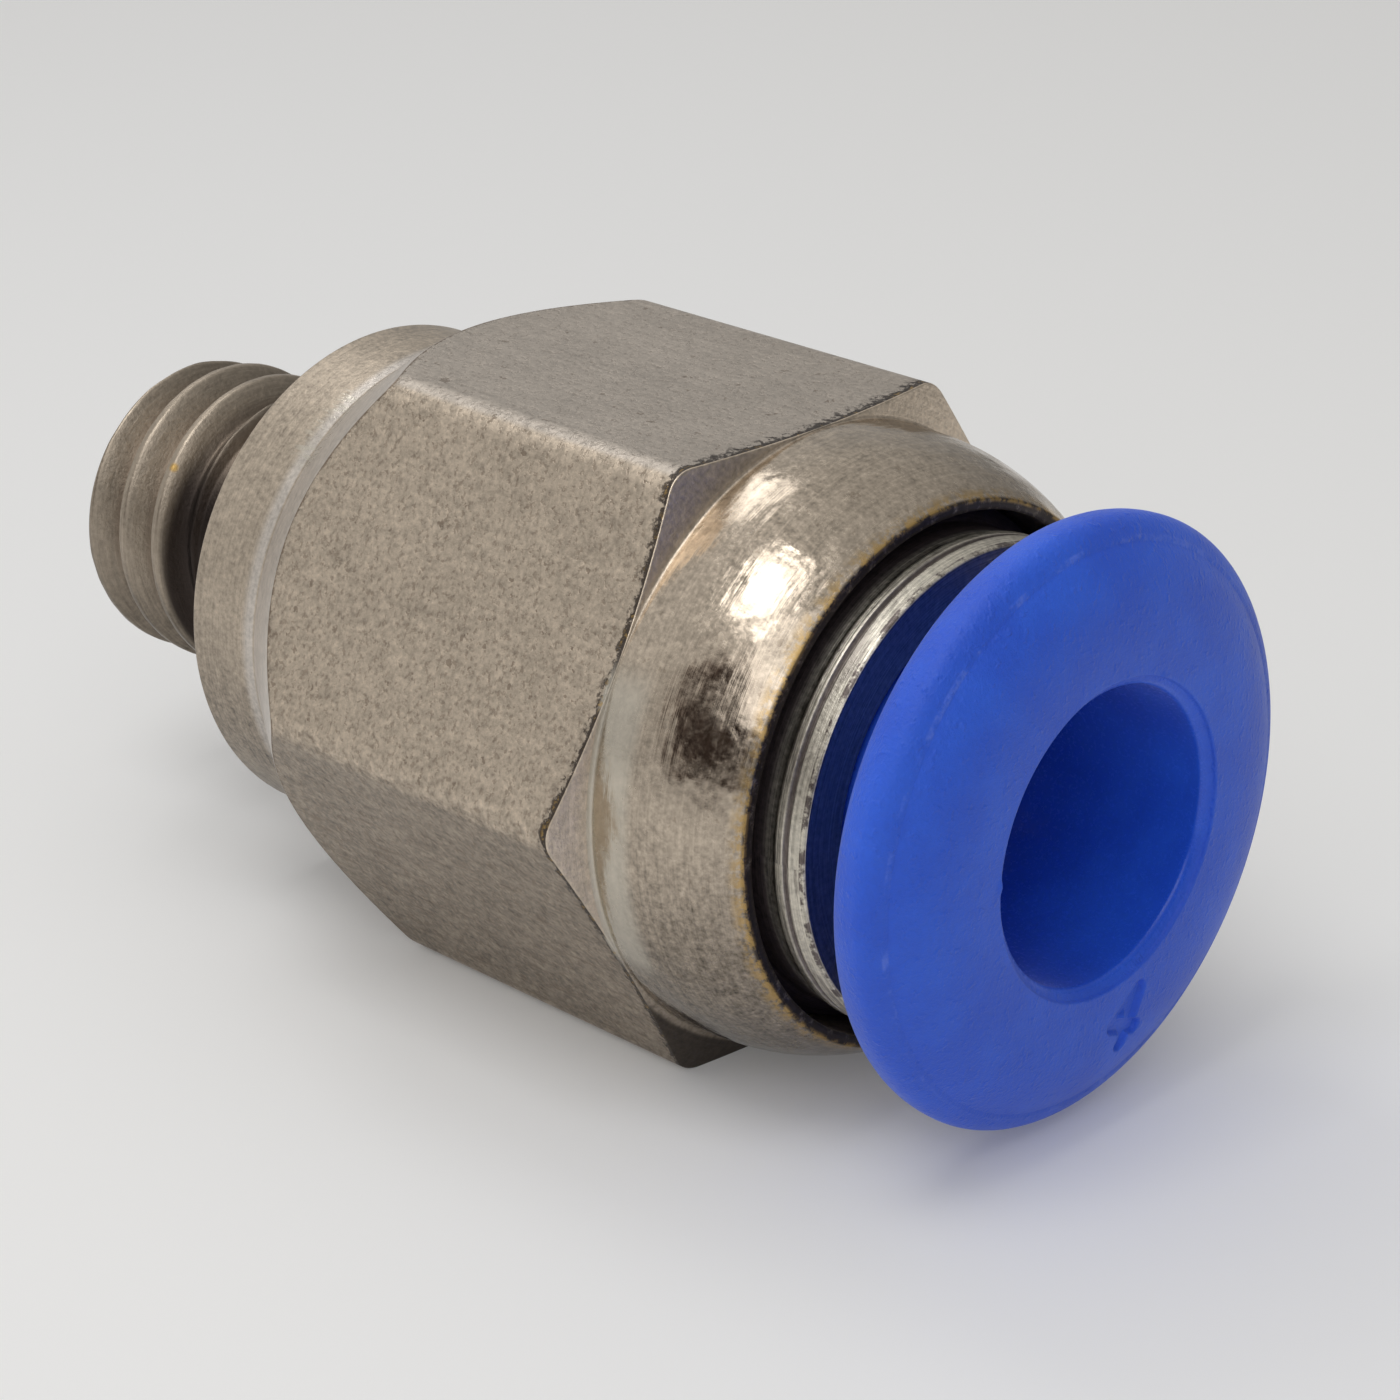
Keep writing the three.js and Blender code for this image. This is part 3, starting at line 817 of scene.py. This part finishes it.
def guide_material():
    """Bright plate with turning marks and stains, with painted shade behind the lip, in the groove and on the front
    face.
    """
    s = ring_sizes()
    c = colours()
    n = Nodes("bright_plate")
    marks = n.noise(1.0, 3.0, at=n.around(45.0, 0.5, 45.0))
    grain = n.noise(12.0, 3.0, 0.6)
    stains = n.noise(1.0, 4.0, 0.65, at=n.around(8.0, 2.4, 8.0))
    patches = n.noise(3.5, 4.0, 0.7)
    lip = s.guide_lip * PER_MM
    end = s.guide_face * PER_MM
    groove_floor = (s.guide_lip + s.guide_lip_width + s.guide_groove_width / 2) * PER_MM
    # Painted shade: the band behind the lip and the fine groove take the dark colour
    band = n.ramp(n.x, n.weighted(lip - 0.22, (patches, 0.34)), lip - 0.3)
    groove = n.all(n.near(n.x, groove_floor, 0.06), 0.8)
    edge = n.all(n.band(n.x, end - 0.09, end - 0.01, 0.006), n.ramp(patches, 0.44, 0.56), 0.85)
    # Painted shade: the front face is darkened so that it mirrors the flange's shaded rear
    face = n.all(n.ramp(n.x, end - 0.012, end - 0.004), 0.7)
    tarnish = n.all(n.ramp(stains, 0.5, 0.62), n.ramp(n.x, end - 0.004, end - 0.012), 0.5)
    # Painted shade: darker behind the lip
    shade = n.weighted(1.0, (n.off(marks), 1.3), (n.off(grain), 1.0), (n.ramp(n.x, lip - 0.01, lip - 0.05), -0.45))
    base = n.mix(n.highest(band, groove, edge, tarnish, face),
                 n.tinted(tuple(c.bright), shade), n.tinted(tuple(c.band), shade))
    rough = n.weighted(0.24, (grain, 0.2), (band, 0.3))
    normal = n.bump(n.weighted(marks, (grain, 0.6), (patches, 1.5)), 0.5, BUMP)
    return n.finish(base, rough, n.less(n.all(band, 0.75)), normal)


def acetal_material(name, light, dark, line=None, polish=None):
    """Moulded acetal: faint clouds of colour, a fine grain and a little light under the skin.

    line, where given, is the (plane, radius) of a line on which pale specks sit, partly paler flash and
    partly a painted highlight, and polish is the radius of a bore that is smoother than the rest.
    """
    n = Nodes(name)
    cloud = n.noise(0.8, 3.0)
    grain = n.noise(14.0, 3.0, 0.75)
    bumps = n.ramp(n.noise(7.0, 2.0, 0.5), 0.55, 0.75)
    base = n.mix(n.ramp(cloud, 0.35, 0.7), tuple(dark), tuple(light))
    base = n.tinted(base, n.weighted(1.0, (n.off(grain), 0.25)))
    if line is not None:
        at_line = n.all(*(n.near(value, size * PER_MM, 0.06) for value, size in zip((n.x, n.radius), line)))
        # Pale specks along the parting line: paler flash with a painted highlight
        pale = n.all(at_line, n.ramp(n.noise(1.6, 4.0, 0.75), 0.52, 0.68), 0.16)
        base = n.mix(pale, base, tuple(min(1.0, 0.35 + v) for v in light))
    polished = 0.0 if polish is None else n.past(n.radius, polish, 0.14, 0.06)
    roughness = n.weighted(0.52, (n.off(grain), 0.3), (polished, -0.27))
    height = n.all(n.weighted(grain, (bumps, 0.5)), n.less(n.all(polished, 0.95)))
    return n.finish(
        base, roughness, 0.0, n.bump(height, 0.6, 1.5 * BUMP),
        Specular_IOR_Level=0.45, Sheen_Weight=0.12, Sheen_Roughness=0.5,
        Subsurface_Weight=0.06, Subsurface_Radius=(0.0003, 0.0003, 0.0006), Subsurface_Scale=1.0,
    )


def steel_material():
    """Rolled spring steel with fine lines across it."""
    c = colours()
    n = Nodes("spring_steel")
    lines = n.noise(1.0, 2.0, stretch=(60.0, 4.0, 4.0))
    grain = n.noise(18.0, 2.0)
    base = n.mix(n.ramp(grain, 0.3, 0.7), tuple(c.steel), tuple(v * 0.85 for v in c.steel))
    return n.finish(base, n.weighted(0.24, (lines, 0.15)), 1.0, n.bump(lines, 0.2, BUMP / 2))


def rubber_material():
    """Matt black rubber with a fine grain."""
    c = colours()
    n = Nodes("seal_rubber")
    grain = n.noise(20.0, 3.0)
    base = n.mix(grain, tuple(c.rubber), tuple(v * 2.2 for v in c.rubber))
    return n.finish(base, n.weighted(0.55, (grain, 0.2)), 0.0, n.bump(grain, 0.2, BUMP / 2))


class FITTING_OT_body(bpy.types.Operator):
    """Builds the plated body: thread, collar, hexagon, dome and bores."""

    bl_idname = "fitting.body"
    bl_label = "Body"

    def execute(self, context):
        s = body_sizes()
        turn = hex_turns(s)
        x, radius = body_rows(s, turn)
        made = carried("fitting_body", x, radius, turn)
        finish_piece(made, "body_group", "body", nickel_material())
        return {"FINISHED"}


class FITTING_OT_guide_ring(bpy.types.Operator):
    """Builds the guide ring in the mouth."""

    bl_idname = "fitting.guide_ring"
    bl_label = "Guide ring"

    def execute(self, context):
        s = ring_sizes()
        edge = 0.02 * MM
        bore_chamfer = 0.06 * MM
        step = s.guide_recess - s.guide_bore
        ridge = s.guide_side + s.guide_ridge
        groove = s.guide_lip + s.guide_lip_width
        x, radius = rounded([
            (s.guide_rear, s.guide_recess, edge),
            (s.guide_rear, s.guide_outer, edge),
            (s.guide_shoulder - (s.guide_outer - s.guide_side), s.guide_outer, edge),
            (s.guide_shoulder, s.guide_side, edge),
            (s.guide_lip - s.guide_ridge, s.guide_side, edge),
            (s.guide_lip, ridge, edge),
            (groove, ridge, edge),
            (groove + s.guide_groove_width / 2, ridge - s.guide_groove_depth, edge),
            (groove + s.guide_groove_width, ridge, edge),
            (s.guide_face - s.guide_edge, s.guide_side, edge),
            (s.guide_face, s.guide_side - s.guide_edge, edge),
            (s.guide_face, s.guide_bore + bore_chamfer, edge),
            (s.guide_face - bore_chamfer, s.guide_bore, edge),
            (s.guide_step + step / 2, s.guide_bore, edge),
            (s.guide_step, s.guide_recess, edge),
        ])
        made = carried("guide_ring_turned", x, radius, even_turns(300))
        finish_piece(made, "body_group", "guide_ring", guide_material())
        return {"FINISHED"}


class FITTING_OT_release_ring(bpy.types.Operator):
    """Builds the blue release ring with its flange, sleeve, bead and recessed numeral."""

    bl_idname = "fitting.release_ring"
    bl_label = "Release ring"

    def execute(self, context):
        s = ring_sizes()
        edge = 0.05 * MM
        nose_opening = 0.02 * MM
        bead_ramp = 0.3 * MM
        root_fillet = 0.25 * MM
        rim_fall, rim_lean, chamfer_fall, bore_fall = 0.06 * MM, 0.02 * MM, 0.15 * MM, 0.5 * MM
        bead_rear = s.bead_front - s.bead_length
        entry = s.entry + s.entry_chamfer
        step_plane = s.face_plane - s.entry_depth
        x, radius = rounded([
            (s.nose_plane, s.bore + nose_opening, edge),
            (s.nose_plane, s.nose, edge),
            (s.nose_plane + s.nose_taper, s.sleeve, edge),
            (bead_rear - bead_ramp, s.sleeve, edge),
            (bead_rear, s.bead, edge),
            (s.bead_front, s.bead, edge),
            (s.bead_front + (s.bead - s.sleeve) / 2, s.sleeve, edge),
            (s.flange_rear, s.sleeve, root_fillet),
            *flange_outline(s),
            (s.face_plane, entry, edge / 2),
            (s.face_plane - rim_fall, entry - rim_lean, edge / 2),
            (s.face_plane - chamfer_fall, s.entry_step, edge),
            (step_plane, s.entry_step, edge),
            (step_plane - bore_fall, s.bore, edge),
            (s.nose_plane + s.nose_taper, s.bore, edge),
        ])
        turn = crowded_turns(s.digit_turn)
        shift = front_relief(s, x, radius, turn[None, :])
        made = carried("release_ring_moulded", x, radius, turn, shift)
        c = colours()
        material = acetal_material("blue_acetal", c.blue_light, c.blue, (s.parting_plane, s.parting), s.bore)
        finish_piece(made, "release", "release_ring", material)
        return {"FINISHED"}


class FITTING_OT_inner_rings(bpy.types.Operator):
    """Builds the O-ring, the back-up ring and the base of the claw."""

    bl_idname = "fitting.inner_rings"
    bl_label = "Inner rings"

    def execute(self, context):
        s = inner_sizes()
        c = colours()
        round_section = np.linspace(0.0, 2 * math.pi, 33)[:-1, None]
        seal_x = s.seal_plane + s.seal_section * np.sin(round_section)
        seal_r = s.seal_inner + s.seal_section * (1 - np.cos(round_section))
        seal = carried("seal_ring", seal_x, seal_r, even_turns(200))
        finish_piece(seal, "body_group", "o_ring", rubber_material())
        x, radius = rounded([
            (s.backup_rear, s.backup_bore, s.edge),
            (s.backup_rear, s.outer, s.edge),
            (s.backup_front, s.outer, s.edge),
            (s.backup_front, s.backup_mouth, s.edge),
            (s.backup_rear + s.backup_throat, s.backup_step, s.edge),
            (s.backup_rear + s.backup_throat, s.backup_bore, s.edge),
        ])
        backup = carried("backup_ring_moulded", x, radius, even_turns(200))
        finish_piece(backup, "body_group", "backup_ring",
                     acetal_material("pale_acetal", c.pale, tuple(v * 0.93 for v in c.pale)))
        x, radius = rounded([
            (s.claw_rear, s.claw_inner, s.edge),
            (s.claw_rear, s.outer, s.edge),
            (s.claw_front, s.outer, s.edge),
            (s.claw_front, s.claw_inner, s.edge),
        ])
        base = carried("claw_base_ring", x, radius, even_turns(200))
        finish_piece(base, "body_group", "claw_base", steel_material())
        return {"FINISHED"}


class FITTING_OT_fingers(bpy.types.Operator):
    """Finishes the claw's fingers, whose CAD plates are exact: rounded edges and spring steel."""

    bl_idname = "fitting.fingers"
    bl_label = "Claw fingers"

    def execute(self, context):
        steel = steel_material()
        for name, node in sorted(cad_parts.items()):
            if name.startswith("claw_finger"):
                node.data.materials.clear()
                node.data.materials.append(steel)
                bevel = node.modifiers.new("edges", "BEVEL")
                bevel.width = inner_sizes().finger_bevel
                bevel.segments = 2
                bevel.limit_method = "ANGLE"
        return {"FINISHED"}


def soft_world():
    """World that is brightest overhead and to the back left, with a dim patch low in front.

    Its strength is 0.3 plus the direction's dot product with a fixed vector, never under 0.1,
    and it falls to a tenth, with a brown tint, within the patch.
    """
    world = bpy.data.worlds.new("soft")
    world.use_nodes = True
    nodes, links = world.node_tree.nodes, world.node_tree.links
    direction = nodes.new("ShaderNodeTexCoord").outputs["Generated"]
    overhead, low_in_front = (-0.25, -0.15, 0.35), (0.08, -0.93, 0.36)
    steps = []
    for toward in (overhead, low_in_front):
        dot = nodes.new("ShaderNodeVectorMath")
        dot.operation = "DOT_PRODUCT"
        dot.inputs[1].default_value = toward
        links.new(direction, dot.inputs[0])
        steps.append(dot.outputs["Value"])
    patch = nodes.new("ShaderNodeMapRange")
    patch.interpolation_type = "SMOOTHSTEP"
    links.new(steps[1], patch.inputs["Value"])
    for socket, value in zip(("From Min", "From Max", "To Min", "To Max"), (0.90, 0.95, 1.0, 0.1)):
        patch.inputs[socket].default_value = value
    strength = steps[0]
    for operation, other in (("ADD", 0.3), ("MAXIMUM", 0.1), ("MULTIPLY", patch.outputs["Result"])):
        node = nodes.new("ShaderNodeMath")
        node.operation = operation
        links.new(strength, node.inputs[0])
        if isinstance(other, float):
            node.inputs[1].default_value = other
        else:
            links.new(other, node.inputs[1])
        strength = node.outputs[0]
    tint = nodes.new("ShaderNodeMix")
    tint.data_type = "RGBA"
    tint.inputs[6].default_value = (1.0, 0.72, 0.62, 1.0)
    tint.inputs[7].default_value = (1.0, 0.99, 0.97, 1.0)
    links.new(patch.outputs["Result"], tint.inputs[0])
    links.new(tint.outputs[2], nodes["Background"].inputs["Color"])
    links.new(strength, nodes["Background"].inputs["Strength"])
    return world


class FITTING_OT_stage(bpy.types.Operator):
    """Adds the pale floor, the soft lights and the camera at the photograph's angle."""

    bl_idname = "fitting.stage"
    bl_label = "Stage"

    def execute(self, context):
        scene = context.scene
        c = colours()
        n = Nodes("floor")
        n.finish((*c.floor, 1.0), 0.7, Emission_Color=(1.0, 1.0, 0.99, 1.0), Emission_Strength=0.1)
        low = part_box("body")[0].z
        corners = np.array([(x * FLOOR_SIDE, y * FLOOR_SIDE, low) for x, y in ((-1, -1), (1, -1), (1, 1), (-1, 1))])
        floor = mesh_object("floor", corners, np.array([[0, 1, 2, 3]]))
        floor.data.materials.append(n.material)
        scene.world = soft_world()
        scene.view_settings.view_transform = "Standard"
        centre = np.array(LIT_POINT) * MM
        for name, away, size, power in LIGHTS:
            light = bpy.data.lights.new(name, "AREA")
            light.size = size * MM
            light.energy = power
            lamp = bpy.data.objects.new(name, light)
            place = np.array(away) * MM
            back = place / np.linalg.norm(place)
            right = np.cross((0.0, 0.0, 1.0), back)
            right /= np.linalg.norm(right)
            lamp.matrix_world = pose(right, np.cross(back, right), back, centre + place)
            scene.collection.objects.link(lamp)
        camera = bpy.data.cameras.new("camera")
        camera.sensor_width = 36.0
        camera.lens = CAMERA_LENS
        camera.clip_start = 0.001
        seen = bpy.data.objects.new("camera", camera)
        seen.matrix_world = pose(CAMERA_RIGHT, CAMERA_UP, CAMERA_BACK, np.array(CAMERA_PLACE) * MM)
        scene.collection.objects.link(seen)
        scene.camera = seen
        return {"FINISHED"}


def pose(right, up, back, place):
    """4x4 matrix of an object whose local X, Y and Z point right, up and back."""
    matrix = Matrix.Identity(4)
    for column, vector in enumerate((right, up, back, place)):
        for row in range(3):
            matrix[row][column] = float(vector[row])
    return matrix


class FITTING_PT_panel(bpy.types.Panel):
    """Buttons that build each piece."""

    bl_idname = "FITTING_PT_panel"
    bl_label = "Push to connect fitting"
    bl_space_type = "VIEW_3D"
    bl_region_type = "UI"
    bl_category = "Fitting"

    def draw(self, context):
        for operator in OPERATORS:
            self.layout.operator(operator.bl_idname)


OPERATORS = (
    FITTING_OT_body,
    FITTING_OT_guide_ring,
    FITTING_OT_release_ring,
    FITTING_OT_inner_rings,
    FITTING_OT_fingers,
    FITTING_OT_stage,
)
GROUPS = {
    "fitting_body": FittingBodySizes,
    "fitting_rings": FittingRingSizes,
    "fitting_inner": FittingInnerSizes,
    "fitting_colours": FittingColours,
}


def register():
    for kind in (*GROUPS.values(), *OPERATORS, FITTING_PT_panel):
        bpy.utils.register_class(kind)
    for name, kind in GROUPS.items():
        setattr(bpy.types.Scene, name, bpy.props.PointerProperty(type=kind))


def unregister():
    for name in GROUPS:
        delattr(bpy.types.Scene, name)
    for kind in reversed((*GROUPS.values(), *OPERATORS, FITTING_PT_panel)):
        bpy.utils.unregister_class(kind)


def main():
    register()
    for build in (
        bpy.ops.fitting.body,
        bpy.ops.fitting.guide_ring,
        bpy.ops.fitting.release_ring,
        bpy.ops.fitting.inner_rings,
        bpy.ops.fitting.fingers,
        bpy.ops.fitting.stage,
    ):
        build()


if __name__ == "__main__":
    main()
